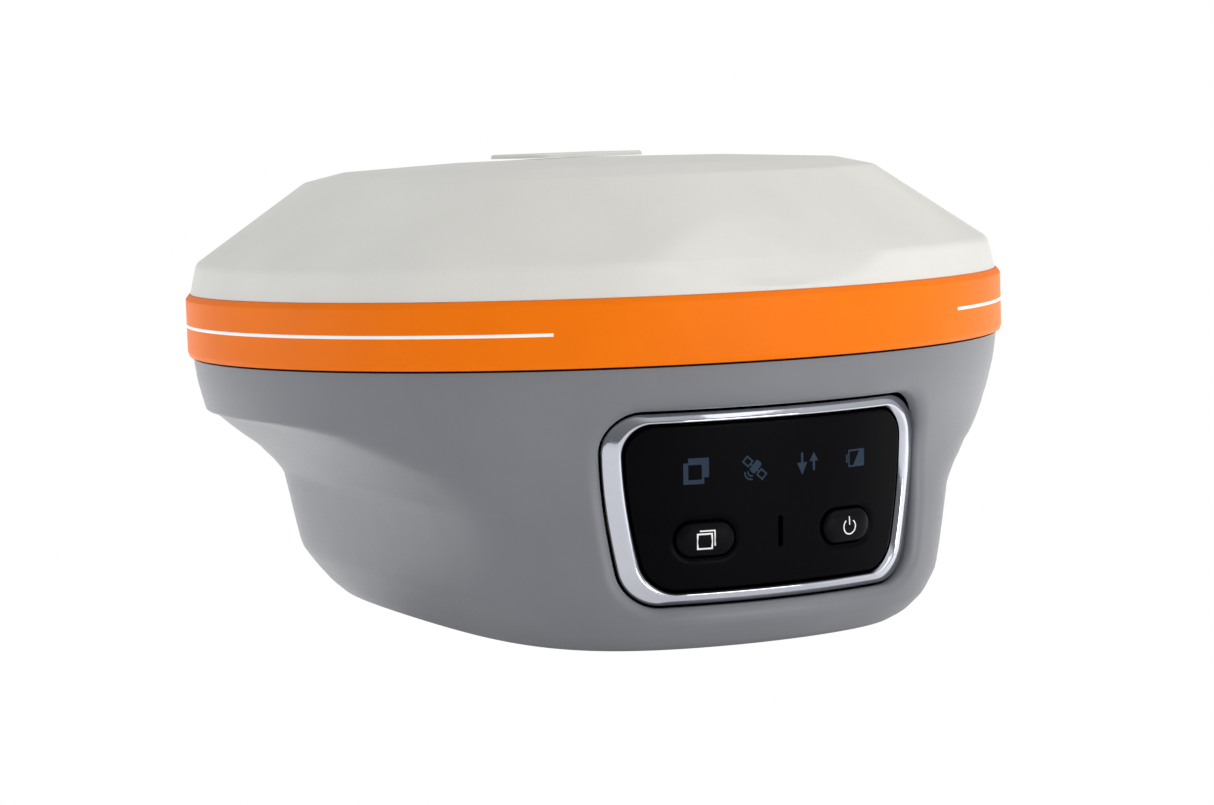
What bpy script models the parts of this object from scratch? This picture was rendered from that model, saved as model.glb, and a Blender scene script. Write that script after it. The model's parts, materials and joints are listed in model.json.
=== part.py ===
"""Palm-size GNSS receiver: domed radome, bumper band, waisted lower housing, keypad, pole mount.

Frame: origin at the centre of the bottom face, +Z up, keypad facing -Y. Dimensions are in mm.
"""
import math

import bmesh
import bpy
import numpy as np
from mathutils import Matrix, Vector

for old in list(bpy.data.objects):
    bpy.data.objects.remove(old, do_unlink=True)

MM = 0.001
STEPS = 72                 # points round the body
GAP = 0.3                  # air between neighbouring pieces

BAND_R = 76.0              # overall diameter 152
BAND_LOW, BAND_TOP = 49.0, 60.4
BAND_IN = 73.3
HOUSING_TOP = 48.6
WALL = 2.6
FLOOR = 5.4
# height, front and back radius, side half-width, corner sharpness
STATIONS = [
    (0.0, 65.5, 40.0, 5.4), (1.5, 68.4, 40.9, 5.8), (4.4, 70.9, 42.2, 6.8), (8.4, 71.3, 44.5, 8.6),
    (18.6, 71.3, 46.0, 11.5), (23.4, 71.2, 47.0, 13.0), (26.2, 71.1, 49.8, 14.0), (30.0, 71.2, 54.2, 18.0),
    (33.3, 71.6, 59.2, 30.0), (37.0, 72.4, 65.2, 42.0), (38.7, 73.0, 70.4, 48.0), (39.4, 73.2, 76.0, 50.0),
    (44.2, 74.4, 200.0, 50.0), (48.6, 75.0, 200.0, 50.0)]

RADOME_TOP = 83.2
PAD_TOP, PAD_SIZE, PAD_BACK = 84.0, 23.0, 9.8         # low square pad, set back from the crown
RADOME = [(72.9, 49.6), (72.9, 60.7), (75.1, 60.7), (74.0, 65.0), (73.0, 66.4), (67.0, 70.6), (54.6, 79.1),
          (52.0, 80.4), (44.0, 81.8), (16.0, 82.9)]
RADOME_IN = [(24.0, 80.2), (51.0, 77.7), (60.0, 72.4), (68.0, 66.8), (71.6, 64.2), (70.5, 61.0), (70.5, 49.6)]
SCOOP_FOOT, SCOOP_LEAN = 75.0, 0.9   # flat over the keypad: distance out at the band, lean per mm

FACE_R, FACE_LEAN = 69.1, 0.04       # keypad surface radius at height 10, and its growth per mm
FACE_Z = (10.6, 38.3)
FACE_W = (23.5, 27.3)                # half-widths at the bottom and top edges
FACE_BOW = 0.045                     # how far the sides bow out, as a share of the half-width
BEZEL_SIDE, BEZEL_EDGE, BEZEL_PROUD = 4.0, 2.5, 0.8
KEY_S, KEY_Z = 13.8, 19.0
KEY_SIZE = (10.0, 5.4)
KEY_PROUD = 0.7
SLOT_SIZE = (0.7, 5.2)

INSERT_R, INSERT_BORE, INSERT_H = 11.0, 6.9, 18.0      # 5/8 inch pole thread
PLATE_R = 26.0
SCREW_RING, SCREW_R = 20.0, 1.5
CASE_SCREW_X, CASE_SCREW_Y = 30.0, 45.0

PORT_HALF = math.radians(13.0)
PORT_Z = (14.0, 31.0)
SOCKET_ANGLE = math.radians(153.0)
SOCKET_Z = 20.0

COLOURS = {
    "radome_plastic": ((0.66, 0.64, 0.58), 0.45, 0.0), "band_orange": ((0.83, 0.19, 0.01), 0.45, 0.0),
    "housing_grey": ((0.22, 0.23, 0.25), 0.5, 0.0), "chrome": ((0.8, 0.8, 0.82), 0.08, 1.0),
    "panel_black": ((0.006, 0.006, 0.009), 0.35, 0.0), "key_black": ((0.01, 0.01, 0.012), 0.6, 0.0),
    "seal_rubber": ((0.02, 0.02, 0.02), 0.8, 0.0), "pad_white": ((0.7, 0.68, 0.62), 0.5, 0.0),
    "circuit_green": ((0.01, 0.12, 0.04), 0.5, 0.0), "can_steel": ((0.55, 0.55, 0.56), 0.3, 1.0),
    "brass": ((0.7, 0.45, 0.15), 0.3, 1.0), "plate_alloy": ((0.5, 0.51, 0.52), 0.4, 1.0),
    "screw_steel": ((0.4, 0.4, 0.41), 0.3, 1.0), "battery_wrap": ((0.03, 0.1, 0.3), 0.4, 0.0),
    "dark_plastic": ((0.03, 0.03, 0.035), 0.6, 0.0), "lamp_resin": ((0.8, 0.85, 0.9), 0.2, 0.0),
    "antenna_metal": ((0.75, 0.72, 0.6), 0.3, 1.0), "antenna_ceramic": ((0.7, 0.68, 0.62), 0.6, 0.0)}


def material(slot):
    if slot in bpy.data.materials:
        return bpy.data.materials[slot]
    colour, rough, metal = COLOURS[slot]
    made = bpy.data.materials.new(slot)
    made.use_nodes = True
    shader = made.node_tree.nodes["Principled BSDF"]
    shader.inputs["Base Color"].default_value = (*colour, 1.0)
    shader.inputs["Roughness"].default_value = rough
    shader.inputs["Metallic"].default_value = metal
    made.diffuse_color = (*colour, 1.0)
    return made


def finish(bm, name, slot, origin=(0, 0, 0)):
    """Turn a bmesh in mm into an object whose origin sits at the given point."""
    bmesh.ops.recalc_face_normals(bm, faces=bm.faces)
    bmesh.ops.transform(bm, matrix=Matrix.Translation(-Vector(origin)), verts=bm.verts)
    bmesh.ops.scale(bm, vec=(MM, MM, MM), verts=bm.verts)
    mesh = bpy.data.meshes.new(name)
    bm.to_mesh(mesh)
    bm.free()
    mesh.shade_smooth()
    mesh.set_sharp_from_angle(angle=math.radians(35))
    obj = bpy.data.objects.new(name, mesh)
    obj.location = Vector(origin) * MM
    bpy.context.collection.objects.link(obj)
    if slot:
        mesh.materials.append(material(slot))
    else:
        obj.hide_render = True
        obj.display_type = "WIRE"
    return obj


def stack(name, slot, loops, closed=False, origin=(0, 0, 0)):
    """Skin a list of loops; closed joins the last loop to the first, otherwise both ends are capped."""
    bm = bmesh.new()
    rows = [[bm.verts.new(point) for point in loop] for loop in loops]
    pairs = list(zip(rows, rows[1:])) + ([(rows[-1], rows[0])] if closed else [])
    for low, high in pairs:
        for i in range(len(low)):
            j = (i + 1) % len(low)
            bm.faces.new((low[i], low[j], high[j], high[i]))
    if not closed:
        bm.faces.new(rows[0])
        bm.faces.new(rows[-1])
    return finish(bm, name, slot, origin)


def cut(target, cutters):
    for cutter in cutters:
        modifier = target.modifiers.new(cutter.name, "BOOLEAN")
        modifier.operation = "DIFFERENCE"
        modifier.solver = "EXACT"
        modifier.object = cutter


def polar(angle, radius, z):
    """Point at an angle from the front (-Y), positive towards +X."""
    return (radius * math.sin(angle), -radius * math.cos(angle), z)


ANGLES = [2 * math.pi * i / STEPS for i in range(STEPS)]


def ring(radius, z):
    """Loop round the axis; radius is a number or a function of the angle."""
    if callable(radius):
        return [polar(a, radius(a), z) for a in ANGLES]
    return [polar(a, radius, z) for a in ANGLES]


def disc(centre, radius, steps=32):
    """Level loop of (x, y) points."""
    return [(centre[0] + radius * math.cos(2 * math.pi * i / steps),
             centre[1] + radius * math.sin(2 * math.pi * i / steps)) for i in range(steps)]


def rounded(corners, radii, steps=5):
    """Convex polygon with arcs at its corners, as (u, v) points."""
    points = []
    for i, corner in enumerate(corners):
        here = Vector(corner)
        back = (Vector(corners[i - 1]) - here).normalized()
        ahead = (Vector(corners[(i + 1) % len(corners)]) - here).normalized()
        half = back.angle(ahead) / 2
        centre = here + (back + ahead).normalized() * (radii[i] / math.sin(half))
        start = here + back * (radii[i] / math.tan(half)) - centre
        end = here + ahead * (radii[i] / math.tan(half)) - centre
        turn = start.angle_signed(end)
        for k in range(steps + 1):
            spin = Matrix.Rotation(-turn * k / steps, 2)
            points.append(tuple(centre + spin @ start))
    return points


def rectangle(centre, size, radius, steps=4):
    cx, cy = centre
    hx, hy = size[0] / 2, size[1] / 2
    corners = [(cx - hx, cy - hy), (cx + hx, cy - hy), (cx + hx, cy + hy), (cx - hx, cy + hy)]
    return rounded(corners, [radius] * 4, steps)


def slab(name, slot, outline, low, high, origin=(0, 0, 0)):
    """Level plate with the given (x, y) outline."""
    return stack(name, slot, [[(x, y, low) for x, y in outline], [(x, y, high) for x, y in outline]], origin=origin)


def upright(name, slot, outline, front, back):
    """Plate standing across Y with the given (x, z) outline."""
    return stack(name, slot, [[(x, front, z) for x, z in outline], [(x, back, z) for x, z in outline]])


# ---------------------------------------------------------------- body outlines
def station(z):
    table = np.array(STATIONS)
    return [float(np.interp(z, table[:, 0], table[:, k])) for k in (1, 2, 3)]


def housing_radius(angle, z):
    """Round front and back, drawn in at both sides below the crease."""
    radius, side, sharp = station(z)
    pull = abs(math.sin(angle)) / side
    return (radius ** -sharp + pull ** sharp) ** (-1 / sharp)


def housing_inner(angle, z):
    return min(housing_radius(angle, z) - WALL, housing_radius(angle, max(z - WALL, 0.0)) - 0.4)


def scooped(radius, z, inset=0.0):
    """Radome radius, cut by the leaning flat over the keypad."""
    def at(angle):
        facing = math.cos(angle)
        return min(radius, (SCOOP_FOOT - inset - (z - BAND_TOP) * SCOOP_LEAN) / facing) if facing > 0.8 else radius
    return at if 61.0 < z < 76.0 and radius > 50 else radius


def face_point(s, z, depth):
    """Point on the keypad surface: arc length s, height z, depth inwards."""
    radius = FACE_R + FACE_LEAN * (z - 10.0)
    return polar(s / radius, radius - depth, z)


def face_outline(grow_side=0.0, grow_edge=0.0, corner=(5.5, 4.3), steps=5):
    low, high = FACE_Z[0] - grow_edge, FACE_Z[1] + grow_edge
    wide_low, wide_high = FACE_W[0] + grow_side, FACE_W[1] + grow_side
    corners = [(-wide_low, low), (wide_low, low), (wide_high, high), (-wide_high, high)]
    points = rounded(corners, [corner[0], corner[0], corner[1], corner[1]], steps)
    middle = (low + high) / 2
    return [(s * (1 + FACE_BOW * (1 - ((z - middle) / (high - middle)) ** 2)), z) for s, z in points]


def split_long(outline, longest=5.0, model=None):
    """Add points along the long runs of the outline, or of a matching model outline, so that it can bend."""
    points = []
    for i, (u, v) in enumerate(outline):
        p, q = outline[(i + 1) % len(outline)]
        a, b = (model or outline)[i]
        c, d = (model or outline)[(i + 1) % len(outline)]
        parts = max(1, math.ceil(math.hypot(c - a, d - b) / longest))
        points += [(u + (p - u) * k / parts, v + (q - v) * k / parts) for k in range(parts)]
    return points


def face_loop(outline, depth):
    return [face_point(s, z, depth) for s, z in outline]


def face_sheet(name, slot, outline, front, back):
    """Sheet on the keypad surface between two depths, creased along upright lines so that it bends."""
    bm = bmesh.new()
    lower = [bm.verts.new((s, front, z)) for s, z in outline]
    upper = [bm.verts.new((s, back, z)) for s, z in outline]
    for i in range(len(lower)):
        j = (i + 1) % len(lower)
        bm.faces.new((lower[i], lower[j], upper[j], upper[i]))
    bm.faces.new(lower)
    bm.faces.new(upper)
    reach = int(max(s for s, _ in outline) // 4)
    for k in range(-reach, reach + 1):
        bmesh.ops.bisect_plane(bm, geom=bm.verts[:] + bm.edges[:] + bm.faces[:],
                               plane_co=(4.0 * k, 0, 0), plane_no=(1, 0, 0))
    for vert in bm.verts:
        vert.co = face_point(vert.co.x, vert.co.z, vert.co.y)
    return finish(bm, name, slot)


# ---------------------------------------------------------------- lower housing and what closes it
outer = [ring(lambda a, h=z: housing_radius(a, h), z) for z, *_ in STATIONS]
inner = [ring(lambda a, h=z: housing_inner(a, h), z)
         for z in (HOUSING_TOP, 42.0, 39.5, 34.0, 28.5, 22.0, FLOOR)]
pocket = [ring(INSERT_R + 0.35, FLOOR), ring(INSERT_R + 0.35, 3.3), ring(PLATE_R + 0.35, 3.3),
          ring(PLATE_R + 0.35, 0.0)]
housing = stack("lower_housing", "housing_grey", outer + inner + pocket, closed=True)

window_outline = split_long(face_outline(BEZEL_SIDE + 0.4, BEZEL_EDGE + 0.4, (6.9, 6.4)))
window_cut = face_sheet("window_cut", None, window_outline, -8.0, 12.0)
port_angles = [math.pi + PORT_HALF * (2 * k / 12 - 1) for k in range(13)]


def port_loop(z, inner_r, outer_r, trim=0.0):
    shrink = 1 - trim / (PORT_HALF * 71.0)
    spread = [math.pi + (a - math.pi) * shrink for a in port_angles]
    return [polar(a, outer_r, z) for a in spread] + [polar(a, inner_r, z) for a in reversed(spread)]


port_cut = stack("port_cut", None, [port_loop(z, 60.0, 80.0) for z in PORT_Z])


def along_socket(radius, reach, steps=32):
    """Loop round the whip socket's axis, at a distance from the body's axis."""
    ahead = Vector(polar(SOCKET_ANGLE, 1.0, 0.0))
    across = Vector((-ahead.y, ahead.x, 0.0))
    centre = ahead * reach + Vector((0, 0, SOCKET_Z))
    return [tuple(centre + across * radius * math.cos(t) + Vector((0, 0, radius * math.sin(t))))
            for t in (2 * math.pi * i / steps for i in range(steps))]


socket_cut = stack("socket_cut", None, [along_socket(8.4, 55.0), along_socket(8.4, 85.0)])
plate_spots = [(SCREW_RING * math.cos(a), SCREW_RING * math.sin(a))
               for a in (math.radians(45 + 90 * k) for k in range(4))]
case_spots = [(x, y) for x in (-CASE_SCREW_X, CASE_SCREW_X) for y in (-CASE_SCREW_Y, CASE_SCREW_Y)]


def post(name, slot, spot, profile, steps=24):
    """Turned piece on an upright axis; profile is a list of (radius, height)."""
    return stack(name, slot, [[(x, y, z) for x, y in disc(spot, r, steps)] for r, z in profile])


pilot_cuts = [post(f"pilot_cut_{k + 1}", None, spot, ((1.85, 2.0), (1.85, 9.0)))
              for k, spot in enumerate(plate_spots)]
case_cuts = [post(f"case_cut_{k + 1}", None, spot, ((3.4, -2.0), (3.4, 2.9), (1.85, 2.95), (1.85, 9.0)))
             for k, spot in enumerate(case_spots)]
cut(housing, [window_cut, port_cut, socket_cut] + pilot_cuts + case_cuts)

plate = stack("mount_plate", "plate_alloy",
              [ring(INSERT_R + 0.35, 0.0), ring(PLATE_R - 0.6, 0.0), ring(PLATE_R, 0.6), ring(PLATE_R, 3.0),
               ring(INSERT_R + 0.35, 3.0)], closed=True)
cut(plate, [post(f"plate_cut_{k + 1}", None, spot, ((3.5, -2.0), (3.1, 1.9), (1.85, 1.95), (1.85, 9.0)))
            for k, spot in enumerate(plate_spots)])
for k, spot in enumerate(plate_spots):
    post(f"plate_screw_{k + 1}", "screw_steel", spot,
         ((1.2, 0.9), (1.3, 0.2), (2.5, 0.2), (2.7, 0.5), (2.7, 1.6), (SCREW_R, 1.6), (SCREW_R, 4.9), (1.0, 5.3)))
for k, spot in enumerate(case_spots):
    post(f"case_screw_{k + 1}", "screw_steel", spot,
         ((1.2, 1.6), (1.3, 0.8), (2.7, 0.8), (3.0, 1.1), (3.0, 2.6), (SCREW_R, 2.6), (SCREW_R, 5.0), (1.0, 5.3)))
post("mount_insert", "brass", (0, 0),
     ((3.0, 16.0), (INSERT_BORE, 15.8), (INSERT_BORE, 0.8), (INSERT_BORE + 0.8, 0.0), (INSERT_R - 0.3, 0.0),
      (INSERT_R, 0.3), (INSERT_R, INSERT_H - 0.5), (INSERT_R - 0.5, INSERT_H), (3.0, INSERT_H)), 48)

# ---------------------------------------------------------------- radome, pad, band and seal
stack("radome_cover", "radome_plastic",
      [ring(scooped(r, z, 2.4), z) for r, z in RADOME_IN] + [ring(scooped(r, z), z) for r, z in RADOME])
stack("top_pad", "pad_white",
      [[(x, y, z) for x, y in rectangle((0, PAD_BACK), (PAD_SIZE - 2 * c, PAD_SIZE - 2 * c), 3.0 - c)]
       for c, z in ((0, RADOME_TOP), (0, PAD_TOP - 0.3), (0.3, PAD_TOP))])
stack("bumper_band", "band_orange",
      [ring(r, z) for r, z in ((BAND_IN, BAND_LOW), (BAND_R - 0.3, BAND_LOW), (BAND_R, 49.4), (BAND_R, 59.6),
                               (75.7, 60.2), (75.2, BAND_TOP), (BAND_IN, BAND_TOP))], closed=True)
stack("housing_seal", "seal_rubber", [ring(70.6, 48.9), ring(72.9, 48.9), ring(72.9, 49.3), ring(70.6, 49.3)],
      closed=True)

# ---------------------------------------------------------------- keypad
bezel_rim = face_outline(BEZEL_SIDE, BEZEL_EDGE, (6.5, 6.0))
outline_out = split_long(bezel_rim, 4.0)
outline_in = split_long(face_outline(GAP, GAP, (5.7, 4.5)), 4.0, bezel_rim)


def between(share):
    return [(a + (c - a) * share, b + (d - b) * share) for (a, b), (c, d) in zip(outline_out, outline_in)]


stack("keypad_bezel", "chrome",
      [face_loop(outline_out, 4.5), face_loop(outline_out, 0.3), face_loop(between(0.12), -0.5),
       face_loop(between(0.35), -BEZEL_PROUD), face_loop(between(0.7), -0.7), face_loop(between(0.9), -0.3),
       face_loop(outline_in, 0.3), face_loop(outline_in, 4.5)], closed=True)

face = face_sheet("keypad_window", "panel_black", split_long(face_outline(0, 0)), 0.0, 2.2)
key_shapes = {}
for name, side in (("function_key", -1), ("power_key", 1)):
    def pill(grow, side=side):
        size = (KEY_SIZE[0] + 2 * grow, KEY_SIZE[1] + 2 * grow)
        return split_long(rectangle((side * KEY_S, KEY_Z), size, size[1] / 2 - 0.01, 6), 2.0)
    key_shapes[name] = pill
key_cuts = [stack(f"{name}_cut", None, [face_loop(pill(0.35), -3.0), face_loop(pill(0.35), 3.0)])
            for name, pill in key_shapes.items()]
slot_outline = rectangle((0, KEY_Z + 0.3), SLOT_SIZE, 0.34, 3)
slot_cut = stack("slot_cut", None, [face_loop(slot_outline, -3.0), face_loop(slot_outline, 3.0)])
cut(face, key_cuts + [slot_cut])
for name, pill in key_shapes.items():
    side = -1 if name == "function_key" else 1
    stack(name, "key_black",
          [face_loop(pill(-1.2), -KEY_PROUD), face_loop(pill(-0.5), -KEY_PROUD + 0.1), face_loop(pill(0), -0.1),
           face_loop(pill(0), 2.6), face_loop(pill(1.1), 2.6), face_loop(pill(1.1), 3.5)],
          origin=face_point(side * KEY_S, KEY_Z, 0.0))

face_sheet("keypad_seal", "seal_rubber", split_long(face_outline(-0.5, -0.5)), 4.7, 5.3)
BOARD_FRONT = -58.0
upright("keypad_board", "circuit_green", rectangle((0, 25.0), (48.0, 25.0), 2.0), BOARD_FRONT, BOARD_FRONT + 1.2)
for name, side in (("function_switch", -1), ("power_switch", 1)):
    spot = (side * 13.6, KEY_Z)
    stack(name, "dark_plastic",
          [[(x, y, z) for x, z in shape] for shape, y in
           ((rectangle(spot, (6.0, 6.0), 0.6), BOARD_FRONT - GAP), (rectangle(spot, (6.0, 6.0), 0.6), -60.6),
            (rectangle(spot, (3.0, 3.0), 0.6), -60.61), (rectangle(spot, (3.0, 3.0), 0.6), -61.6))])
for name, s in (("lamp_correction", -16.8), ("lamp_satellite", -5.6), ("lamp_radio", 5.6), ("lamp_battery", 16.8)):
    upright(name, "lamp_resin", rectangle((s, 30.5), (2.2, 1.6), 0.3), BOARD_FRONT - 1.4, BOARD_FRONT - GAP)

# ---------------------------------------------------------------- inside the lower housing
slab("battery_tray", "dark_plastic", rectangle((0, 33.0), (66.0, 38.0), 3.0), FLOOR + GAP, FLOOR + 1.5)
stack("battery_pack", "battery_wrap",
      [[(x, y, z) for x, y in rectangle((0, 33.0), (62.0 - 2 * i, 35.0 - 2 * i), 5.0)]
       for i, z in ((1, 7.3), (0, 8.3), (0, 24.3), (1, 25.3))])
for k, spot in enumerate([(-36.0, -27.0), (36.0, -27.0), (-37.5, 30.0), (37.5, 30.0)]):
    post(f"board_post_{k + 1}", "dark_plastic", spot, ((2.6, FLOOR + GAP), (2.2, 29.6)), 16)
slab("main_board", "circuit_green", rectangle((0, -1.0), (92.0, 88.0), 14.0), 29.9, 31.5)
slab("positioning_module", "can_steel", rectangle((-18.0, 6.0), (36.0, 46.0), 1.0), 31.8, 35.8)
slab("radio_module", "can_steel", rectangle((24.0, 12.0), (30.0, 42.0), 1.0), 31.8, 36.6)
slab("tilt_sensor", "dark_plastic", rectangle((18.0, -24.0), (13.0, 13.0), 0.6), 31.8, 34.2)
post("loudspeaker", "dark_plastic", (0, -38.0),
     ((9.5, FLOOR + GAP), (10.0, 6.4), (10.0, 9.4), (7.0, 10.6)), 32)

# ---------------------------------------------------------------- antenna under the radome
stack("antenna_frame", "dark_plastic",
      [ring(r, z) for r, z in ((50.0, 45.6), (69.0, 45.6), (69.0, 47.2), (66.0, 47.2), (66.0, 52.7), (64.2, 52.7),
                               (64.2, 47.2), (50.0, 47.2))], closed=True)
for name, slot, radius, low, high in (("ground_plane", "plate_alloy", 66.0, 53.0, 54.0),
                                      ("feed_board", "circuit_green", 56.0, 54.3, 55.9),
                                      ("antenna_block", "antenna_ceramic", 46.0, 56.2, 64.2),
                                      ("antenna_patch", "antenna_metal", 40.0, 64.5, 65.3)):
    post(name, slot, (0, 0), ((radius, low), (radius, high)), 64)
slab("amplifier_can", "can_steel", rectangle((0, 0), (34.0, 34.0), 1.5), 47.6, 52.7)

# ---------------------------------------------------------------- ports on the back
HINGE_Z = PORT_Z[0] + GAP
door_loops = []
for z in (HINGE_Z, 18.6, 23.0, 26.2, 30.0, PORT_Z[1] - GAP):
    skin = station(z)[0]
    door_loops.append(port_loop(z, skin - 2.3, skin - 0.05, trim=0.3))
stack("port_door", "seal_rubber", door_loops, origin=(0.0, station(HINGE_Z)[0] - 0.05, HINGE_Z))


def bay_loop(size, y):
    return [(x, y, z) for x, z in rectangle((0, 22.5), size, 1.0)]


stack("port_bay", "dark_plastic",
      [bay_loop((28.2, 12.6), 57.2), bay_loop((28.2, 12.6), 66.4), bay_loop((31.0, 15.4), 66.4),
       bay_loop((31.0, 15.4), 55.8)])
stack("usb_socket", "can_steel",
      [[(x, y, z) for x, z in rectangle((-6.5, 22.5), size, size[1] / 2 - 0.01, 6)]
       for size, y in (((7.6, 1.9), 58.6), ((8.3, 2.6), 58.8), ((8.3, 2.6), 62.0), ((9.1, 3.4), 62.0),
                       ((9.1, 3.4), 57.5))])
stack("data_socket", "can_steel",
      [[(x, y, z) for x, z in disc((7.0, 22.5), r, 32)]
       for r, y in ((3.0, 59.0), (3.9, 59.2), (3.9, 62.0), (5.0, 62.0), (5.0, 57.5))])

stack("whip_socket", "brass",
      [along_socket(r, d) for r, d in ((2.0, 69.0), (3.2, 69.2), (3.2, 73.2), (4.2, 73.2), (4.8, 72.8), (4.8, 67.4),
                                       (7.9, 67.4), (7.9, 64.6))])
stack("whip_cap", "seal_rubber",
      [along_socket(r, d) for r, d in ((2.0, 73.6), (5.0, 73.6), (5.15, 68.0), (6.8, 68.0), (7.0, 68.6),
                                       (6.8, 74.6), (6.2, 75.2), (2.0, 75.2))],
      origin=polar(SOCKET_ANGLE, 68.0, SOCKET_Z))
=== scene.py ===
"""Looks of a palm-size GNSS receiver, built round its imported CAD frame.

Same frame as the CAD: origin at the centre of the bottom face, +Z up, keypad facing -Y. Lengths are in mm.
"""
import json
import math

import bmesh
import bpy
import numpy as np
from mathutils import Matrix, Quaternion, Vector


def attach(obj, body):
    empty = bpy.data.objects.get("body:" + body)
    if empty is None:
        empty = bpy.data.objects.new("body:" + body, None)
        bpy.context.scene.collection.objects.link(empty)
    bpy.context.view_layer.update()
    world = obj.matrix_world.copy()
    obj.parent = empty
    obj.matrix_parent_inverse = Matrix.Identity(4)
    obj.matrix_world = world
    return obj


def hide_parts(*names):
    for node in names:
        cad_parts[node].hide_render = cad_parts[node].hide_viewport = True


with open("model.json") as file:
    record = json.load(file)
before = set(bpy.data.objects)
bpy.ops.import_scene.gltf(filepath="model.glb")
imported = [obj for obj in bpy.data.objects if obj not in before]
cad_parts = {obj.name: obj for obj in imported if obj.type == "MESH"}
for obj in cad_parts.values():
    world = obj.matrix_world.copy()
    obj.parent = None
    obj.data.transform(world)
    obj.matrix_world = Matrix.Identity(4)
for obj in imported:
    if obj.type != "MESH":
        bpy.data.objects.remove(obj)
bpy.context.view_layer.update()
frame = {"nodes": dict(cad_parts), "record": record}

MM = 0.001

# sizes shared with the CAD
BAND_R, BAND_IN = 76.0, 73.3
BAND_LOW, BAND_TOP = 49.0, 60.4
HOUSING_TOP, WALL, FLOOR = 48.6, 2.6, 5.4
# Stations of the housing: height, radius front and back, half width between the flanks, and how squarely a
# flank meets the round (a superellipse exponent).
STATIONS = [
    (0.0, 65.5, 40.0, 5.4), (1.5, 68.4, 40.9, 5.8), (4.4, 70.9, 42.2, 6.8), (8.4, 71.3, 44.5, 8.6),
    (18.6, 71.3, 46.0, 11.5), (23.4, 71.2, 47.0, 13.0), (26.2, 71.1, 49.8, 14.0), (30.0, 71.2, 54.2, 18.0),
    (33.3, 71.6, 59.2, 30.0), (37.0, 72.4, 65.2, 42.0), (38.7, 73.0, 70.4, 48.0), (39.4, 73.2, 76.0, 50.0),
    (44.2, 74.4, 200.0, 50.0), (48.6, 75.0, 200.0, 50.0)]
# The flat on the radome over the keypad: (height, distance from the axis), and the softness of its edge.
SCOOP = [(60.6, 77.5), (61.2, 75.3), (61.7, 74.2), (62.3, 73.5), (65.9, 70.45), (76.0, 60.3)]
SCOOP_BLEND = 0.7
# The keypad surface: a cone about the axis, and its window, given by heights, half widths and side bow.
FACE_R, FACE_LEAN = 69.1, 0.04
FACE_Z, FACE_W, FACE_BOW = (10.6, 38.3), (23.5, 27.3), 0.045
BEZEL_SIDE, BEZEL_EDGE = 4.0, 2.5           # how far the frame reaches past the window
KEY_S, KEY_Z, KEY_SIZE = 13.8, 19.0, (10.0, 5.4)
INSERT_R, INSERT_BORE, INSERT_H, PLATE_R = 11.0, 6.9, 18.0, 26.0
THREAD_PITCH, THREAD_ROOT = 2.309, 7.85     # 5/8 inch, 11 threads per inch
BACK_R, PORT_HALF, PORT_Z = 71.0, math.radians(13.0), (14.0, 31.0)
SOCKET_ANGLE, SOCKET_Z = math.radians(153.0), 20.0


# ---------------------------------------------------------------- materials
looks = {}
CLOUD = 18.0                                # size of the slow changes of tone
FINE_SHARE = 0.45                           # how much of the fine grain shows in the tone
TONE_FROM, TONE_TO = 0.45, 0.98             # noise levels of the dark and the light tone


def surface(name, dark, light, rough, grain, relief, metallic=0.0, **sockets):
    """Moulded or metal surface: cloudy tone, fine grain in roughness and bump. Sizes in mm."""
    made = bpy.data.materials.new(name)
    made.use_nodes = True
    tree = made.node_tree
    new, link = tree.nodes.new, tree.links.new
    shader = tree.nodes["Principled BSDF"]
    shader.inputs["Metallic"].default_value = metallic
    for socket, value in sockets.items():
        shader.inputs[socket.replace("_", " ")].default_value = value
    place = new("ShaderNodeTexCoord").outputs["Object"]

    def noise(size, detail):
        node = new("ShaderNodeTexNoise")
        node.inputs["Scale"].default_value = 1.0 / (size * MM)
        node.inputs["Detail"].default_value = detail
        link(place, node.inputs["Vector"])
        return node.outputs["Fac"]

    fine, broad = noise(grain, 3.0), noise(CLOUD, 4.0)
    blend = new("ShaderNodeMath")
    blend.operation = "MULTIPLY_ADD"
    link(fine, blend.inputs[0])
    blend.inputs[1].default_value = FINE_SHARE
    link(broad, blend.inputs[2])
    ramp = new("ShaderNodeValToRGB")
    ramp.color_ramp.elements[0].position = TONE_FROM
    ramp.color_ramp.elements[0].color = (*dark, 1.0)
    ramp.color_ramp.elements[1].position = TONE_TO
    ramp.color_ramp.elements[1].color = (*light, 1.0)
    link(blend.outputs[0], ramp.inputs["Fac"])
    link(ramp.outputs["Color"], shader.inputs["Base Color"])
    gloss = new("ShaderNodeMapRange")
    gloss.inputs["From Min"].default_value = 0.3
    gloss.inputs["From Max"].default_value = 0.7
    gloss.inputs["To Min"].default_value = rough[0]
    gloss.inputs["To Max"].default_value = rough[1]
    link(fine, gloss.inputs["Value"])
    link(gloss.outputs["Result"], shader.inputs["Roughness"])
    bump = new("ShaderNodeBump")
    bump.inputs["Strength"].default_value = 1.0
    bump.inputs["Distance"].default_value = relief * MM
    link(fine, bump.inputs["Height"])
    link(bump.outputs["Normal"], shader.inputs["Normal"])
    looks[name] = made


def grey(value, tint=(1.0, 1.0, 1.0)):
    return tuple(value * t for t in tint)


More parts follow.
